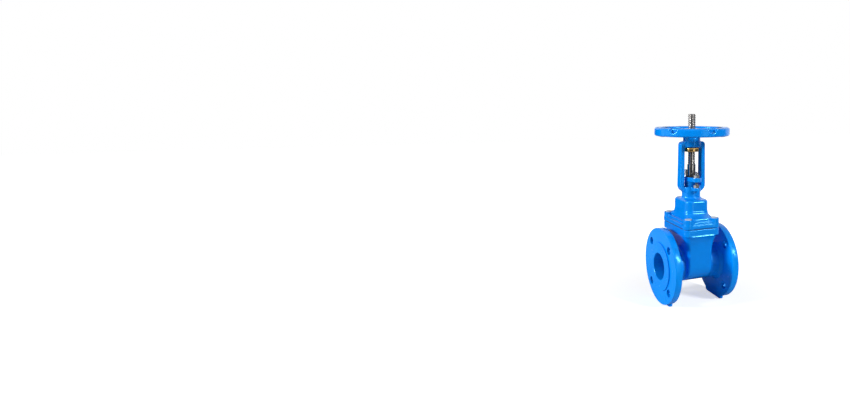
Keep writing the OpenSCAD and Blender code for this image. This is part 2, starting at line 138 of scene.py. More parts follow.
def skin(field, lo, hi, step):
    """Points and quads of the field's skin: one point in each grid cell that the skin crosses."""
    lo, hi = np.array(lo, float), np.array(hi, float)
    axes = [lo[i] + step * np.arange(int((hi[i] - lo[i]) / step) + 2) for i in range(3)]
    f = field(*np.meshgrid(*axes, indexing="ij")).astype(np.float32)
    inside = f < 0
    count = np.zeros(tuple(n - 1 for n in f.shape), np.int8)
    corners = [(i, j, k) for i in (0, 1) for j in (0, 1) for k in (0, 1)]
    for i, j, k in corners:
        count += inside[i:i + count.shape[0], j:j + count.shape[1], k:k + count.shape[2]]
    cells = np.argwhere((count > 0) & (count < 8))
    number = np.full(count.shape, -1, np.int64)
    number[tuple(cells.T)] = np.arange(len(cells))

    # A cell's point is the mean of the places where the skin crosses the cell's edges.
    total, hits = np.zeros((len(cells), 3)), np.zeros((len(cells), 1))
    for a in corners:
        for axis in range(3):
            if a[axis]:
                continue
            b = list(a)
            b[axis] = 1
            fa, fb = f[tuple((cells + a).T)], f[tuple((cells + b).T)]
            crossed = ((fa < 0) != (fb < 0))[:, None]
            t = np.where(crossed[:, 0], fa / np.where(fa == fb, 1, fa - fb), 0)
            at = np.array(a, float) + t[:, None] * (np.array(b) - np.array(a))
            total += np.where(crossed, at, 0)
            hits += crossed
    points = lo + (cells + total / hits) * step

    # Each grid edge that the skin crosses gives a quad of the four cells round it.
    quads = []
    for axis in range(3):
        u, v = (axis + 1) % 3, (axis + 2) % 3
        here = [slice(None)] * 3
        there = [slice(None)] * 3
        here[axis], there[axis] = slice(None, -1), slice(1, None)
        a, b = inside[tuple(here)], inside[tuple(there)]
        edges = np.argwhere(a != b)
        edges = edges[(edges[:, u] > 0) & (edges[:, v] > 0)
                      & (edges[:, u] < f.shape[u] - 1) & (edges[:, v] < f.shape[v] - 1)]
        du, dv = np.eye(3, dtype=int)[u], np.eye(3, dtype=int)[v]
        ring = np.stack([number[tuple((edges - o).T)] for o in (0 * du, du, du + dv, dv)], 1)
        flip = ~a[tuple(edges.T)]
        ring[flip] = ring[flip][:, ::-1]
        quads.append(ring)
    return points, np.concatenate(quads)


def to_scene(name, data):
    """A new object in the scene, from its mesh, lamp or camera."""
    o = bpy.data.objects.new(name, data)
    bpy.context.scene.collection.objects.link(o)
    return o


def to_object(name, points, faces, normals=None):
    """A smooth mesh object from points in mm over the pipe's axis."""
    me = bpy.data.meshes.new(name)
    corners = ((points + (0, 0, AXIS)) / 1000).tolist()
    me.from_pydata(corners, [], [list(map(int, f)) for f in faces])
    me.validate()
    me.update()
    me.shade_smooth()
    if normals is not None:
        me.normals_split_custom_set_from_vertices(normals.tolist())
    return to_scene(name, me)


def cast(name, field, lo, hi, step, keep):
    """A casting: the field's skin between two corners, with the share keep of its triangles.

    It is thinned out where it is flat, and takes its normals from the field."""
    points, quads = skin(field, lo, hi, step)
    points = onto(field, points, step)
    rough = to_object(name + "_rough", points, quads)
    thin = rough.modifiers.new("thin", "DECIMATE")
    thin.ratio = keep
    evaluated = rough.evaluated_get(bpy.context.evaluated_depsgraph_get())
    me = evaluated.to_mesh()
    co = np.empty(len(me.vertices) * 3)
    me.vertices.foreach_get("co", co)
    faces = [p.vertices[:] for p in me.polygons]
    evaluated.to_mesh_clear()
    bpy.data.objects.remove(rough)
    points = onto(field, co.reshape(-1, 3) * 1000 - (0, 0, AXIS), step / 2)
    normals = gradient(field, points)
    normals /= np.maximum(np.linalg.norm(normals, axis=1), 1e-6)[:, None]
    return to_object(name, points, faces, normals)


# ---------------------------------------------------------------- turned pieces and nuts


STEPS = 96  # how finely a turned piece or a nut is divided round its axis


def round_steps(steps):
    """Angles that divide a full turn into steps."""
    return np.arange(steps) * 2 * math.pi / steps


def revolve(name, radius, height, closed=True, centre=(0, 0), sharp=32):
    """Surface of rings: radius and height are arrays of rings x steps. closed joins last to first."""
    rings, steps = radius.shape
    angle = round_steps(steps)
    p = np.stack([centre[0] + radius * np.cos(angle), centre[1] + radius * np.sin(angle),
                  height + 0 * radius], 2).reshape(-1, 3)
    faces = []
    for i in range(rings if closed else rings - 1):
        a, b = i * steps, (i + 1) % rings * steps
        faces += [(a + j, a + (j + 1) % steps, b + (j + 1) % steps, b + j) for j in range(steps)]
    if not closed:
        faces += [tuple(range(steps))[::-1], tuple(range((rings - 1) * steps, rings * steps))]
    o = to_object(name, p, faces)
    o.data.set_sharp_from_angle(angle=math.radians(sharp))
    return o


def turned(name, profile, steps=STEPS, **more):
    """A profile of (radius, height) turned round its centre."""
    profile = np.array(profile, float)
    radius, height = (np.repeat(profile[:, i:i + 1], steps, 1) for i in (0, 1))
    return revolve(name, radius, height, **more)


COUNTERSINK = 0.7
NUT_FACE = 0.97  # diameter of a nut's round face, as a share of the width across flats
NUT_CHAMFER = math.radians(28)


def nut_piece(node, hole):
    """A hexagon nut in a node's place, chamfered to a round face on both sides. Its flats face Y."""
    base, top = low(node), high(node)
    a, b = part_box(node)
    across = round((b[1] - a[1]) * 1000, 1)
    angle = round_steps(STEPS)
    out = across / 2 / np.cos(angle % (math.pi / 3) - math.pi / 6)
    face = across / 2 * NUT_FACE
    edge = (out - face) * math.tan(NUT_CHAMFER)
    mouth = hole + COUNTERSINK
    rows = [(hole, base + COUNTERSINK), (mouth, base), (face, base), (out, base + edge),
            (out, top - edge), (face, top), (mouth, top), (hole, top - COUNTERSINK)]
    radius, height = (np.array([row[i] + np.zeros(STEPS) for row in rows]) for i in (0, 1))
    return revolve(node + "_chamfered", radius, height, centre=np.round(centre_of(node), 1), sharp=25)


# ---------------------------------------------------------------- sizes that pieces share
# Here and below, a name that ends in X or Y is measured from the stem's axis along or across the
# pipe, one in R is a radius, and one in LOW or TOP is a height. Edge radii stand where the edges
# are made.

EDGE_X, EDGE_Y = half_size("bonnet", 0), half_size("bonnet", 1)
JOINT, BONNET = low("bonnet_gasket"), high("bonnet_gasket")
BOLT_X, BOLT_Y = np.round(centre_of("bolt_seal_3"), 1)
BOSS_R = 12.5
ROOM_X, ROOM_Y = 18.5, 41.8  # the hollow that holds the gate
STUD_Y, STUD_R = round(centre_of("gland_stud_rear")[1], 1), 4
STEM_R = half_size("stem", 0)
BARREL_R, SPIGOT_R = 14, 12  # the stem nut in the yoke and in the wheel's hub
RUNNING = 0.08  # clearance of what turns or slides


# ---------------------------------------------------------------- body

PIPE_FROM = flange_high[0] * -1000  # where the pipe ends begin
PIPE_LAP = 8  # how far the body's outside runs on over them
PIPE_R, LAP_INNER_R, BORE_R = 41.1, 38, 32.5
PLATE_LOW = 80.8
CHAMBER_TOP = 84
CHAMBER_X, CHAMBER_Y, CHAMBER_EDGE = 30.5, 54.5, 5
ENDS_FLARE, ENDS_FLARE_LOW = 15, 12  # what the chamber gains along the pipe, and from where
SIDES_FLARE, SIDES_FLARE_LOW = 12.4, 22  # what it gains across the pipe, and from where
FLARE_TOP = 81
BELLY_TOP, BELLY_DEPTH = 4, 43
BELLY_MEAN = 46  # turns the belly's share of its size into about mm
FILLET, FILLET_GAIN, GAIN_LOW, GAIN_TOP = 3, 5, 15, 30  # between pipe and chamber
ROOM_LOW = 1


def body_field(x, y, z):
    ax, ay, rad = np.abs(x), np.abs(y), np.hypot(y, z)
    flare = ENDS_FLARE * rise(z, ENDS_FLARE_LOW, FLARE_TOP) ** 3
    ends = ax - CHAMBER_X - flare
    wide = CHAMBER_Y + SIDES_FLARE * rise(z, SIDES_FLARE_LOW, FLARE_TOP) ** 4
    belly = np.hypot(ay / wide, np.minimum(z - BELLY_TOP, 0) / BELLY_DEPTH)
    chamber = both(ends, (belly - 1) * BELLY_MEAN, CHAMBER_EDGE + flare)
    chamber = both(chamber, z - CHAMBER_TOP, 2)
    plate = both(rect(x, y, EDGE_X, EDGE_Y, BOSS_R), span(z, PLATE_LOW, JOINT), 2)
    pipe = np.maximum(rad - PIPE_R, ax - PIPE_FROM - PIPE_LAP)
    f = fuse(fuse(chamber, plate, 0.8), pipe, FILLET + FILLET_GAIN * rise(z, GAIN_LOW, GAIN_TOP))
    f = minus(f, rad - BORE_R, 1)
    f = np.maximum(f, np.minimum(LAP_INNER_R - rad, ax - PIPE_FROM))
    room = np.maximum(rect(x, y, ROOM_X, ROOM_Y, 2), ROOM_LOW - z)
    return minus(f, room, 0.6)


# ---------------------------------------------------------------- bonnet

SEAL_PROUD = 1.6
BOSS_TOP = high("bolt_seal_1") - SEAL_PROUD
POCKET_R, POCKET_LOW = 8.5, 109
FLANGE_TOP = BONNET + 10.3
STEP_X, STEP_Y, STEP_R = 39.5, 63.7, 12
STEP_TOP = BONNET + 16.2
SHOULDER_X, SHOULDER_Y = 33, 61
SHOULDER_TOP = BOSS_TOP + 13
SLOPE_T, SLOPE_POWER, SLOPE_STEEP = 12.7, 2.1, 3.3  # the hollow slope between shoulder and box
SLOPE_PAST = 0.3  # how far the slope runs on below the bosses' top, as a share of its height
BOX_X, BOX_Y, BOX_R = 30, 41, 17
BOX_TOP = BONNET + 63
ROOF_LOW, ROOF_TOP, ROOF_Y = 120, 138, 27  # the hollow's top at its sides and in its middle

NECK_R, NECK_LOW, NECK_TOP = 22.5, 150, round(low("lock_nut_front"), 1)
PACKING_R, PACKING_LOW = 16, NECK_TOP - 24
STUD_HOLE_LOW = 180
ENDED = 9  # added to a hole's field beyond the hole's end
LUG_R, LUG_LOW = 9, round(low("gland_stud_front"), 1)

WINDOW_TOP = round(high("thrust_washer"), 1)
WINDOW_LOW = WINDOW_TOP - 100
WINDOW_X, WINDOW_R = 21.8, 5.5
YOKE_LOW, YOKE_TOP = 178, WINDOW_TOP + 13
YOKE_LOW_R, YOKE_TOP_R = 17, 8
YOKE_X, YOKE_TAPER = 33.4, 1.8
TAPER_LOW, TAPER_TOP = WINDOW_LOW + 9, WINDOW_TOP + 6
YOKE_HALF = 50  # half height of each of the two outlines that make the yoke's
YOKE_SPLIT = 240  # where one gives way to the other, in the legs
LEG_Y = 9.5
HUB_R, COLLAR_R = 21.75, 20.5
COLLAR_LOW, COLLAR_TOP = 290, round(high("bonnet"), 1)
BARREL_LOW = 260  # anywhere in the window, where the hole's radius may change


def bonnet_foot(x, y, z):
    """Flange, step, shoulder, box and bolt bosses."""
    f = both(rect(x, y, EDGE_X, EDGE_Y, BOSS_R), span(z, BONNET, FLANGE_TOP), 2.4)
    step = both(rect(x, y, STEP_X, STEP_Y, STEP_R), span(z, BONNET, STEP_TOP), 2.2)
    f = fuse(f, step, 1)
    left = 1 - np.clip((z - BOSS_TOP) / SLOPE_T, -SLOPE_PAST, 1)
    spread = left ** SLOPE_POWER
    slope = rect(x, y, BOX_X + (SHOULDER_X - BOX_X) * spread, BOX_Y + (SHOULDER_Y - BOX_Y) * spread, BOX_R)
    true_scale = 1 / np.sqrt(1 + (SLOPE_STEEP * left ** (SLOPE_POWER - 1)) ** 2)
    shoulder = both(slope * true_scale, rect(x, y, SHOULDER_X, SHOULDER_Y, BOX_R), 2.5)
    f = fuse(f, both(shoulder, span(z, BONNET, SHOULDER_TOP), 1), 1)
    box = both(rect(x, y, BOX_X, BOX_Y, BOX_R), span(z, BONNET, BOX_TOP), 7)
    f = fuse(f, box, 3)
    boss = np.hypot(np.abs(x) - BOLT_X, np.abs(y) - BOLT_Y) - BOSS_R
    return fuse(f, both(boss, span(z, BONNET, BOSS_TOP), 1.2), 2.5)


def yoke(x, y, z):
    """Legs, sill and lintel round the window, with the hub and its bearing collar."""
    half = YOKE_X - YOKE_TAPER * rise(z, TAPER_LOW, TAPER_TOP)
    outline = np.where(z < YOKE_SPLIT,
                       rect(x, z - (YOKE_LOW + YOKE_HALF), half, YOKE_HALF, YOKE_LOW_R),
                       rect(x, z - (YOKE_TOP - YOKE_HALF), half, YOKE_HALF, YOKE_TOP_R))
    window = rect(x, z - (WINDOW_LOW + WINDOW_TOP) / 2, WINDOW_X, (WINDOW_TOP - WINDOW_LOW) / 2, WINDOW_R)
    legs = both(both(outline, -window, 2.2), np.abs(y) - LEG_Y, 2.2)
    r = np.hypot(x, y)
    hub = both(r - HUB_R, span(z, WINDOW_TOP, YOKE_TOP), 2)
    collar = both(r - COLLAR_R, span(z, COLLAR_LOW, COLLAR_TOP), 1)
    return fuse(legs, fuse(hub, collar, 1.5), 3)


def bonnet_field(x, y, z):
    ax, ay, r = np.abs(x), np.abs(y), np.hypot(x, y)
    neck = both(r - NECK_R, span(z, NECK_LOW, NECK_TOP), 1.5)
    lug = both(rect(x, ay - STUD_Y / 2, LUG_R, STUD_Y / 2 + LUG_R, LUG_R), span(z, LUG_LOW, NECK_TOP), 1.2)
    f = fuse(bonnet_foot(x, y, z), neck, 6)
    f = fuse(f, yoke(x, y, z), 3.5)
    f = fuse(f, lug, 1.5)
    f = minus(f, both(r - PACKING_R, PACKING_LOW - z, 0.2), 0.8)
    f = minus(f, r - np.where(z > BARREL_LOW, BARREL_R, STEM_R) - RUNNING, 0.5)
    stud_hole = np.hypot(x, ay - STUD_Y) - STUD_R + ENDED * (z < STUD_HOLE_LOW)
    f = minus(f, stud_hole, 0.5)
    f = minus(f, np.maximum(rect(x, y, ROOM_X, ROOM_Y, 1), z - ROOF_LOW), 0.5)
    f = minus(f, np.maximum(rect(x, y, ROOM_X, ROOF_Y, 1), z - ROOF_TOP), 0.5)
    pocket = np.maximum(np.hypot(ax - BOLT_X, ay - BOLT_Y) - POCKET_R, POCKET_LOW - z)
    return minus(f, pocket, 0.7)


# ---------------------------------------------------------------- gland

GLAND_T, GLAND_R, GLAND_END_R = 10, 17, 11
GLAND_HOLE_R, STUD_GAP = STEM_R + 0.1, 0.5
GLAND_LOW = low("gland_flange") + 23.5
NOSE_R, NOSE_LOW = 15.9, GLAND_LOW - 23.4


def gland_field(x, y, z):
    ay, r = np.abs(y), np.hypot(x, y)
    narrow = (GLAND_R - GLAND_END_R) * rise(ay, 0, STUD_Y)
    outline = np.hypot(x, np.maximum(ay - STUD_Y, 0)) - (GLAND_R - narrow)
    plate = both(outline, span(z, GLAND_LOW, GLAND_LOW + GLAND_T), 1.6)
    nose = both(r - NOSE_R, span(z, NOSE_LOW, GLAND_LOW + 1), 0.6)
    f = fuse(plate, nose, 1)
    f = minus(f, r - GLAND_HOLE_R, 0.8)
    return minus(f, np.hypot(x, ay - STUD_Y) - STUD_R - STUD_GAP, 0.6)


# ---------------------------------------------------------------- handwheel

WHEEL_R = (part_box("handwheel")[1][0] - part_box("handwheel")[0][0]) * 500
WHEEL_LOW, RIM_TOP = low("handwheel"), high("handwheel")
RIM_LOW = RIM_TOP - 19.5
RIM_W, RIM_EDGE = 15, 4.5
WHEEL_HUB_R, WHEEL_HUB_T, WHEEL_BORE_R = 22, 10.5, SPIGOT_R + 0.05
SPOKE_TURNS = [math.radians(65 + 120 * i) for i in range(3)]
SPOKE_LOW, SPOKE_T, SPOKE_HALF = RIM_LOW + 0.2, 6, 7.5
SPOKE_FROM, SPOKE_TO = 4, WHEEL_R - 8
WAIST, WAIST_FROM, WAIST_TO = 1.6, 20, 76  # how much each side of a spoke draws in, and where
SCOOP_TURNS = [math.radians(35 + 60 * i) for i in range(6)]
SCOOP_R, SCOOP_DEPTH, SCOOP_LIP, SCOOP_MIDDLE = 10, 9, 3, RIM_TOP - 0.2
FAR = 99  # a field's value where there is nothing


def ray(x, y, turn):
    """Distances across and along a line that leaves the stem's axis at an angle."""
    return x * math.sin(turn) - y * math.cos(turn), x * math.cos(turn) + y * math.sin(turn)


def wheel_field(x, y, z):
    r = np.hypot(x, y)
    section = both(WHEEL_R - RIM_W - r, span(z, RIM_LOW, RIM_TOP), RIM_EDGE)
    rim = both(r - WHEEL_R, section, RIM_EDGE)
    spokes = np.full_like(x, FAR)
    for turn in SPOKE_TURNS:
        across, along = ray(x, y, turn)
        wide = SPOKE_HALF - WAIST * np.sin(rise(along, WAIST_FROM, WAIST_TO) * math.pi)
        arm = both(np.abs(across) - wide, span(z, SPOKE_LOW, SPOKE_LOW + SPOKE_T), 2.2)
        spokes = np.minimum(spokes, np.maximum(arm, span(along, SPOKE_FROM, SPOKE_TO)))
    hub = both(r - WHEEL_HUB_R, span(z, WHEEL_LOW, WHEEL_LOW + WHEEL_HUB_T), 1.5)
    f = fuse(rim, fuse(spokes, hub, 4), 4)
    f = minus(f, r - WHEEL_BORE_R, 0.6)
    for turn in SCOOP_TURNS:
        across, along = ray(x, y, turn)
        up = z - SCOOP_MIDDLE
        scoop = np.where(up > 0, np.abs(across), np.hypot(across, up)) - SCOOP_R
        f = minus(f, np.maximum(scoop, WHEEL_R - SCOOP_DEPTH - along), SCOOP_LIP)
    return f


# ---------------------------------------------------------------- gate
# The gate's heights are over its own middle, which is over the pipe's axis while it is raised.

SEAT_R, SEAT_LOW = STEM_R + 0.2, 46  # the stem's seat
GATE_MIDDLE = round(low("stem"), 1) - SEAT_LOW
GATE_X, GATE_R = 17.4, 32.1
INSET_X, INSET_LOW = 15.4, 2.2
WING_Y, WING_TOP = 40.7, 50
CROWN_Y, CROWN_TOP = 25.9, 68


def wedge_field(x, y, z):
    z = z - GATE_MIDDLE
    f = both(np.hypot(y, z) - GATE_R, np.abs(x) - GATE_X, 2.5)
    f = fuse(f, both(rect(x, y, GATE_X, GATE_R, 3), span(z, 0, WING_TOP), 2.5), 1)
    f = fuse(f, both(rect(x, y, INSET_X, WING_Y, 3), span(z, INSET_LOW, WING_TOP), 2), 2)
    f = fuse(f, both(rect(x, y, INSET_X, CROWN_Y, 3), span(z, INSET_LOW, CROWN_TOP), 3), 4)
    return minus(f, np.maximum(np.hypot(x, y) - SEAT_R, SEAT_LOW - z), 0.4)


# ---------------------------------------------------------------- all castings


def build_castings():
    """Each plan is a field, two corners round it, the grid's step and the share of triangles kept."""
    plans = {
        "body_casting": (body_field, (-48, -68, -44), (48, 68, 100), 1.0, 0.4),
        "bonnet_casting": (bonnet_field, (-48, -68, 97), (48, 68, 310), 1.1, 0.45),
        "gland_casting": (gland_field, (-19, -41, 178), (19, 41, 216), 0.7, 0.5),
        "handwheel_casting": (wheel_field, (-91, -91, WHEEL_LOW - 2), (91, 91, RIM_TOP + 2), 1.0, 0.5),
        "wedge_rubber": (wedge_field, (-19, -42, 4), (19, 42, 108), 1.3, 0.4),
    }
    made = {}
    for name, (field, lo, hi, step, keep) in plans.items():
        made[name] = cast(name, field, lo, hi, step, keep)
    return made


FLANGE_EDGE = 0.0012


def flange_casting(name, node):
    """The CAD flange with its edges rounded, as the coating rounds them."""
    o = to_scene(name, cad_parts[node].data.copy())
    weld = o.modifiers.new("weld", "WELD")
    weld.merge_threshold = 1e-6
    flat = o.modifiers.new("flat", "DECIMATE")
    flat.decimate_type = "DISSOLVE"
    flat.angle_limit = math.radians(0.5)
    soft = o.modifiers.new("soft", "BEVEL")
    soft.width = FLANGE_EDGE
    soft.segments = 3
    soft.limit_method = "ANGLE"
    soft.angle_limit = math.radians(35)
    soft.harden_normals = True
    return o


# ---------------------------------------------------------------- stem and studs

THREAD_R, THREAD_DEPTH, THREAD_PITCH = 9, 1.7, 4
THREAD_LOW = high("thrust_washer") - 41.5
THREAD_IN = 3  # height in which the thread gets its full depth
CREST, FLANKS = 0.5, 0.12  # shares of the pitch that a crest and its two flanks take
STEM_END_R, STEM_CHAMFER = 7.6, 1.5


def ring_heights(start, top, chamfer, step):
    """Heights of a thread's rings of points, up to the chamfer under a rod's top."""
    return np.append(np.arange(start, top - chamfer - 0.1, step), top - chamfer)


def rod(name, heights, radius_at, end_r, top, steps, **more):
    """A rod with a chamfered end. radius_at gives its radius from the height and the share of a turn."""
    z, a = np.meshgrid(heights, round_steps(steps), indexing="ij")
    radius = np.concatenate([radius_at(z, a / (2 * math.pi)), np.full((1, steps), end_r)])
    z = np.concatenate([z, np.full((1, steps), top)])
    return revolve(name, radius, z, closed=False, **more)


def stem_piece():
    """The stem, smooth below and threaded above.

    The thread is left-handed, so that the wheel's anticlockwise turn raises the stem."""
    foot, top = low("stem"), high("stem")

    def radius_at(z, turn):
        t = (z / THREAD_PITCH + turn) % 1
        groove = THREAD_DEPTH * rise(np.abs(2 * t - 1), CREST, CREST + FLANKS)
        groove *= rise(z, THREAD_LOW, THREAD_LOW + THREAD_IN)
        r = np.where(z < THREAD_LOW, STEM_R, THREAD_R - groove)
        r[-1] = np.minimum(r[-1], THREAD_R - 0.1)
        return r

    thread = ring_heights(THREAD_LOW, top, STEM_CHAMFER, step=0.25)
    heights = np.append([foot, THREAD_LOW - 0.3], thread)
    return rod("stem_threaded", heights, radius_at, STEM_END_R, top, steps=64, sharp=30)


STUD_PITCH, STUD_GROOVE = 1.25, 0.65
STUD_END_R, STUD_CHAMFER = 3.1, 1.1


def stud_piece(node):
    foot, top = low(node), high(node)

    def radius_at(z, turn):
        t = (z / STUD_PITCH - turn) % 1
        return STUD_R - STUD_GROOVE * np.abs(2 * t - 1)

    heights = ring_heights(foot, top, STUD_CHAMFER, step=0.16)
    centre = np.round(centre_of(node), 1)
    return rod(node + "_threaded", heights, radius_at, STUD_END_R, top, steps=32, centre=centre, sharp=50)


# ---------------------------------------------------------------- small pieces

SEAL_R = 8.2
SEAL_CROWN = ((SEAL_R, 1.5), (8.0, 0.8), (7.3, 0.25), (6.0, 0.05),
              (4.2, 0.15), (2.2, 0.35), (0.3, 0.45))  # radius, and depth under the top
LUMP_T, LUMP_WAVE, LUMP_DEPTH = 0.08, 0.25, 0.9


def seal_piece(number):
    """Wax over a screw's head, with uneven lumps down to a little depth under its top."""
    node = f"bolt_seal_{number}"
    centre, top = centre_of(node), high(node)
    rows = [(SEAL_R, low(node))] + [(r, top - depth) for r, depth in SEAL_CROWN]
    o = turned(f"seal_wax_{number}", rows, steps=48, closed=False, centre=centre)
    rng = np.random.default_rng(10 + number)
    lumps = rng.normal(0, 1, (3, 4))
    for v in o.data.vertices:
        x, y = v.co.x * 1000 - centre[0], v.co.y * 1000 - centre[1]
        if v.co.z * 1000 - AXIS > top - LUMP_DEPTH:
            waves = sum(math.sin(x * a * LUMP_WAVE + y * b * LUMP_WAVE + c) - 1 for a, b, c, _ in lumps)
            v.co.z += LUMP_T / 1000 * waves
    return o


NUT_BORE_R = 9.15
NUT_FLANGE_EDGE = ((16.6, 0), (17.1, 0.15), (17.45, 0.8))  # radius, and depth from the flange's face


def brass_piece():
    """The stem nut: a flange under the yoke, a barrel in it and a spigot in the wheel's hub."""
    foot, top = low("stem_nut"), high("stem_nut")
    face = low("thrust_washer") - 0.1
    hub = low("handwheel")
    rows = [(NUT_BORE_R, foot + 1.2), (NUT_BORE_R + 1.25, foot)]
    rows += [(r, foot + depth) for r, depth in NUT_FLANGE_EDGE]
    rows += [(r, face - depth) for r, depth in reversed(NUT_FLANGE_EDGE)]
    rows += [(BARREL_R, face), (BARREL_R, hub), (SPIGOT_R, hub), (SPIGOT_R, top - 1)]
    rows += [(11.2, top), (10.2, top), (NUT_BORE_R, top - 1)]
    return turned("stem_nut_turned", rows, sharp=40)


WASHER_EDGE = 0.3


def washer_piece(name, node, hole, back=0.0):
    """A chamfered washer in a node's place, with its edge set back a little."""
    foot, top = low(node), high(node)
    out = half_size(node, 0) - back
    rows = [(hole, foot), (out - WASHER_EDGE, foot), (out, foot + WASHER_EDGE),
            (out, top - WASHER_EDGE), (out - WASHER_EDGE, top), (hole, top)]
    return turned(name, rows)


# ---------------------------------------------------------------- node trees


def add(nt, kind, **values):
    """A new node. Each value goes to its socket of that name, or else to its property."""
    n = nt.nodes.new(kind)
    for key, value in values.items():
        if key in n.inputs:
            n.inputs[key].default_value = value
        else:
            setattr(n, key, value)
    return n


def maths(nt, operation, *values):
    """A math node's result. Each value is another node's output or a number."""
    n = add(nt, "ShaderNodeMath", operation=operation)
    for socket, value in zip(n.inputs, values):
        if isinstance(value, bpy.types.NodeSocket):
            nt.links.new(value, socket)
        else:
            socket.default_value = value
    return n.outputs["Value"]


def noise(nt, place, **values):
    n = add(nt, "ShaderNodeTexNoise", **values)
    nt.links.new(place, n.inputs["Vector"])
    return n.outputs["Fac"]


def ramp(nt, value, start, end, **values):
    """Map range node that runs between its ends while the value runs from start to end."""
    n = add(nt, "ShaderNodeMapRange", **{"From Min": start, "From Max": end}, **values)
    nt.links.new(value, n.inputs["Value"])
    return n.outputs["Result"]


def split_up(nt, vector):
    n = add(nt, "ShaderNodeSeparateXYZ")
    nt.links.new(vector, n.inputs["Vector"])
    return n.outputs


def length_of(nt, vector):
    n = add(nt, "ShaderNodeVectorMath", operation="LENGTH")
    nt.links.new(vector, n.inputs[0])
    return n.outputs["Value"]


# ---------------------------------------------------------------- materials


def lathe_lines(nt, place, per_metre):
    """Uneven fine lines round the stem's axis, as a lathe leaves them."""
    along = maths(nt, "MULTIPLY", split_up(nt, place)["Z"], per_metre)
    line = add(nt, "ShaderNodeTexNoise", noise_dimensions="1D", Scale=1.0, Detail=3.0)
    nt.links.new(along, line.inputs["W"])
    return line.outputs["Fac"]


RINGS_WITHIN = 0.057


def face_rings(nt, place, pitch):
    """Even grooves round the pipe's axis on the raised faces, and none outside them."""
    place = split_up(nt, place)
    across = add(nt, "ShaderNodeCombineXYZ")
    nt.links.new(place["Y"], across.inputs["Y"])
    nt.links.new(maths(nt, "SUBTRACT", place["Z"], AXIS / 1000), across.inputs["Z"])
    radius = length_of(nt, across.outputs["Vector"])
    inside = maths(nt, "LESS_THAN", radius, RINGS_WITHIN)
    wave = maths(nt, "SINE", maths(nt, "MULTIPLY", radius, 2 * math.pi / pitch))
    return maths(nt, "MULTIPLY", wave, inside)


def new_material(name):
    m = bpy.data.materials.new(name)
    m.use_nodes = True
    return m


def material(name, base, other, rough, patch, metallic=0.0, bumps=(), lines=None, ring_pitch=None,
             specular=None, tint=None):
    """A procedural finish: two mingled colours, uneven gloss and bumps.

    patch is the scale of the mingling, per metre. A bump has a scale per metre, a depth in metres
    and a strength. lines is lathe lines per metre, and ring_pitch that of the face rings in metres."""
    m = new_material(name)
    nt = m.node_tree
    shader = nt.nodes["Principled BSDF"]
    shader.inputs["Metallic"].default_value = metallic
    if specular is not None:
        shader.inputs["Specular IOR Level"].default_value = specular
    if tint:
        shader.inputs["Specular Tint"].default_value = (*tint, 1)

    place = add(nt, "ShaderNodeTexCoord").outputs["Object"]
    mingled = noise(nt, place, Scale=patch, Detail=3.0, Roughness=0.55)
    colour = add(nt, "ShaderNodeMix", data_type="RGBA")
    colour.inputs["A"].default_value = (*base, 1)
    colour.inputs["B"].default_value = (*other, 1)
    nt.links.new(ramp(nt, mingled, 0.35, 0.65), colour.inputs["Factor"])
    nt.links.new(colour.outputs["Result"], shader.inputs["Base Color"])
    uneven = noise(nt, place, Scale=patch * 3.1, Detail=4.0)
    gloss = ramp(nt, uneven, 0.3, 0.7, **{"To Min": rough[0], "To Max": rough[1]})
    nt.links.new(gloss, shader.inputs["Roughness"])

    heights = []
    for scale, depth, strength in bumps:
        heights.append((noise(nt, place, Scale=scale, Detail=2.0, Roughness=0.5), depth, strength))
    if lines:
        heights.append((lathe_lines(nt, place, lines), 0.00003, 0.35))
    if ring_pitch:
        heights.append((face_rings(nt, place, ring_pitch), 0.00012, 0.4))
    target = shader.inputs["Normal"]
    for height, depth, strength in reversed(heights):
        bump = add(nt, "ShaderNodeBump", Strength=strength, Distance=depth)
        nt.links.new(height, bump.inputs["Height"])
        nt.links.new(bump.outputs["Normal"], target)
        target = bump.inputs["Normal"]
    return m


TINT = (0.2, 0.75, 1.0)
paint = material("blue_epoxy", (0.0, 0.203, 0.71), (0.0, 0.222, 0.765), rough=(0.16, 0.22), patch=30,
                 bumps=((95, 0.0003, 0.22), (420, 0.00006, 0.25)), specular=0.6, tint=TINT)
# The flanges' copy of the blue paint has the face rings and its own gloss. Its blue is lighter than the
# paint's, which is painted light that makes the flanges show brighter than the rest of the casting.
faced_paint_lightened = material("blue_epoxy_faced_lightened", (0.0, 0.236, 0.82), (0.0, 0.26, 0.87), rough=(0.2, 0.28),
                      patch=30, ring_pitch=0.0016, specular=0.4, tint=TINT)
brass = material("turned_brass", (0.5, 0.3, 0.09), (0.58, 0.37, 0.14), metallic=1.0,
                 rough=(0.16, 0.26), patch=120, bumps=((900, 0.00002, 0.2),), lines=4000)
steel = material("rolled_steel", (0.32, 0.31, 0.3), (0.38, 0.365, 0.355), metallic=1.0,
                 rough=(0.18, 0.26), patch=150, bumps=((1400, 0.00001, 0.2),), lines=5200)
zinc = material("zinc_plate", (0.26, 0.27, 0.29), (0.34, 0.35, 0.37), metallic=1.0,
                rough=(0.16, 0.28), patch=260, bumps=((1200, 0.00003, 0.3),))
wax = material("sealing_wax", (0.4, 0.45, 0.5), (0.5, 0.54, 0.58), rough=(0.4, 0.6), patch=320,
               bumps=((500, 0.0003, 0.5), (1800, 0.00006, 0.4)))
rubber = material("black_rubber", (0.012, 0.012, 0.014), (0.02, 0.02, 0.022), rough=(0.5, 0.7),
                  patch=300, bumps=((2500, 0.00003, 0.4),))
bearing = material("dark_bearing", (0.03, 0.028, 0.026), (0.05, 0.045, 0.04), metallic=0.6,
                   rough=(0.35, 0.5), patch=300, bumps=((2500, 0.00002, 0.3),))


# ---------------------------------------------------------------- the valve put together


def dress(o, mat, body, replaces):
    """Gives a piece its material and body, and hides the CAD nodes that it stands for."""
    o.data.materials.clear()
    o.data.materials.append(mat)
    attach(o, body)
    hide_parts(*replaces)


def recolour(node, mat):
    """A new material for a CAD node that shows as it is."""
    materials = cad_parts[node].data.materials
    materials.clear()
    materials.append(mat)


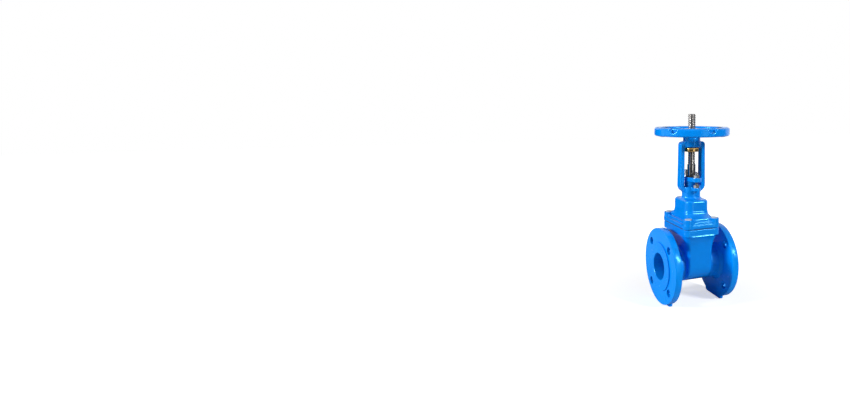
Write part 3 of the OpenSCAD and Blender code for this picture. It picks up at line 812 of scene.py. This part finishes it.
castings = build_castings()
dress(castings["body_casting"], paint, "casing", ["body"])
dress(castings["bonnet_casting"], paint, "casing", ["bonnet"])
dress(castings["gland_casting"], paint, "casing", ["gland_flange"])
dress(castings["handwheel_casting"], paint, "wheel_set", ["handwheel"])
dress(castings["wedge_rubber"], rubber, "stem_set", ["wedge"])
# The flanges take the copy of the blue paint that is lightened with painted light.
for node in ("left_flange", "right_flange"):
    dress(flange_casting(node + "_casting", node), faced_paint_lightened, "casing", [node])
dress(stem_piece(), steel, "stem_set", ["stem"])
for place in ("front", "rear"):
    node = f"gland_stud_{place}"
    dress(stud_piece(node), zinc, "casing", [node])
    for node in (f"gland_nut_{place}", f"lock_nut_{place}"):
        dress(nut_piece(node, STUD_R + 0.02), zinc, "casing", [node])
for number in range(1, 5):
    dress(seal_piece(number), wax, "casing", [f"bolt_seal_{number}"])
    recolour(f"bonnet_bolt_{number}", zinc)
recolour("bonnet_gasket", rubber)
dress(brass_piece(), brass, "wheel_set", ["stem_nut"])
dress(nut_piece("wheel_nut", WHEEL_BORE_R), zinc, "wheel_set", ["wheel_nut"])
wheel_washer = washer_piece("wheel_washer_turned", "wheel_washer", WHEEL_BORE_R)
dress(wheel_washer, zinc, "wheel_set", ["wheel_washer"])
thrust_washer = washer_piece("thrust_washer_turned", "thrust_washer", BARREL_R + 0.1, back=0.1)
dress(thrust_washer, bearing, "casing", ["thrust_washer"])
wiper = washer_piece("wiper_turned", "stem_wiper", STEM_R + 0.1, back=0.1)
dress(wiper, rubber, "casing", ["stem_wiper"])


# ---------------------------------------------------------------- studio


def mesh_plane(name, points):
    me = bpy.data.meshes.new(name)
    me.from_pydata(points, [], [tuple(range(len(points)))])
    return to_scene(name, me)


def seen_rays(nt):
    """1 for rays from the camera and for those that a shiny or clear surface sends on, else 0."""
    path = add(nt, "ShaderNodeLightPath").outputs
    seen = path["Is Camera Ray"]
    for kind in ("Is Glossy Ray", "Is Transmission Ray"):
        seen = maths(nt, "MAXIMUM", seen, path[kind])
    return seen, path["Is Camera Ray"]


def mixed(nt, factor, a, b):
    """Shader a where the factor is 0, and shader b where it is 1."""
    n = add(nt, "ShaderNodeMixShader")
    for socket, value in zip(n.inputs, (factor, a, b)):
        nt.links.new(value, socket)
    return n.outputs["Shader"]


def matt(nt, grey):
    return add(nt, "ShaderNodeBsdfDiffuse", Color=(grey, grey, grey, 1)).outputs["BSDF"]


def glowing(nt, surface, away, weak, distance):
    """A surface with a glow that rises from weak, under the object, to 1 at a distance from it."""
    rising = ramp(nt, away, 0, distance, interpolation_type="SMOOTHSTEP", **{"To Min": weak})
    glow = add(nt, "ShaderNodeEmission")
    nt.links.new(rising, glow.inputs["Strength"])
    total = add(nt, "ShaderNodeAddShader")
    for socket, value in zip(total.inputs, (surface, glow.outputs["Emission"])):
        nt.links.new(value, socket)
    return total.outputs["Shader"]


FLOOR_GREY, MIRRORED_GREY = 0.7, 0.3


def floor_material():
    """Pale floor that is seen as white, except where the object's shadow dims it round the feet.

    Shiny surfaces show it darker near the object, and it lights the object as plain matt grey."""
    m = new_material("pale_floor")
    nt = m.node_tree
    seen, from_camera = seen_rays(nt)
    away = length_of(nt, add(nt, "ShaderNodeTexCoord").outputs["Object"])
    mirrored = glowing(nt, matt(nt, MIRRORED_GREY), away, weak=0, distance=3.0)
    direct = glowing(nt, matt(nt, FLOOR_GREY), away, weak=0.6, distance=0.8)
    shown = mixed(nt, from_camera, mirrored, direct)
    surface = mixed(nt, seen, matt(nt, FLOOR_GREY), shown)
    nt.links.new(surface, nt.nodes["Material Output"].inputs["Surface"])
    return m


FLOOR_HALF = 6
CORNERS = ((-1, -1), (1, -1), (1, 1), (-1, 1))
floor = mesh_plane("floor", [(x * FLOOR_HALF, y * FLOOR_HALF, 0) for x, y in CORNERS])
floor.data.materials.append(floor_material())

LAMPS_AIM = Vector((0, 0, 0.2))


def light(name, place, width, height, power):
    """A rectangular lamp that faces the object."""
    data = bpy.data.lights.new(name, "AREA")
    data.shape = "RECTANGLE"
    data.size, data.size_y = width, height
    data.energy = power
    o = to_scene(name, data)
    o.location = place
    o.rotation_mode = "QUATERNION"
    o.rotation_quaternion = (LAMPS_AIM - Vector(place)).to_track_quat("-Z", "Y")


light("key", (2.24, -3.7, 2.45), width=0.84, height=0.7, power=203)
light("left", (-4.7, 0.2, 1.8), width=1.1, height=1.1, power=272)


def card(name, turn, away, width, glow, height=0.5):
    """Upright card beside the object, turn degrees from +X and away metres from the stem's axis.

    Only shiny surfaces show it."""
    m = new_material(name)
    shader = m.node_tree.nodes["Principled BSDF"].inputs
    shader["Base Color"].default_value = (0, 0, 0, 1)
    shader["Specular IOR Level"].default_value = 0
    shader["Emission Color"].default_value = (1, 1, 1, 1)
    shader["Emission Strength"].default_value = glow
    out = Vector((math.cos(math.radians(turn)), math.sin(math.radians(turn)), 0))
    along, up = Vector((-out.y, out.x, 0)) * width / 2, Vector((0, 0, height))
    foot = out * away
    o = mesh_plane(name, [foot - along, foot + along, foot + along + up, foot - along + up])
    o.data.materials.append(m)
    o.visible_camera = o.visible_diffuse = o.visible_shadow = o.visible_transmission = False


card("black_card_back", turn=118, away=0.8, width=0.75, glow=0)
card("black_card_front", turn=237, away=0.8, width=1.12, glow=0.06)
card("black_card_right", turn=327, away=0.8, width=1.12, glow=0.08)
card("white_card", turn=283.5, away=0.75, width=0.2, glow=2.2)


def studio_world():
    """A white backdrop, and a faint bluish light on the object."""
    world = bpy.data.worlds.new("studio")
    world.use_nodes = True
    nt = world.node_tree
    faint = nt.nodes["Background"]
    faint.inputs["Color"].default_value = (0.9, 0.95, 1, 1)
    faint.inputs["Strength"].default_value = 0.05
    white = add(nt, "ShaderNodeBackground", Color=(1, 1, 1, 1), Strength=1.0)
    shown = mixed(nt, seen_rays(nt)[0], faint.outputs["Background"], white.outputs["Background"])
    nt.links.new(shown, nt.nodes["World Output"].inputs["Surface"])
    return world


scene = bpy.context.scene
scene.world = studio_world()
scene.view_settings.view_transform = "Standard"


# ---------------------------------------------------------------- camera

CAMERA_PLACE = (-0.5470, -1.0788, 0.3772 + AXIS / 1000)
CAMERA_TURN, CAMERA_TILT = math.radians(22.773), math.radians(9.907)

camera = bpy.data.cameras.new("camera")
camera.sensor_width = 36
camera.lens = 21.4488
camera.shift_x, camera.shift_y = -0.270741, -0.004776
camera.clip_start, camera.clip_end = 0.05, 50
camera_object = to_scene("camera", camera)
scene.camera = camera_object
camera_object.location = CAMERA_PLACE
level = math.cos(CAMERA_TILT)
aim = Vector((math.sin(CAMERA_TURN) * level, math.cos(CAMERA_TURN) * level, -math.sin(CAMERA_TILT)))
camera_object.rotation_mode = "QUATERNION"
camera_object.rotation_quaternion = aim.to_track_quat("-Z", "Y")
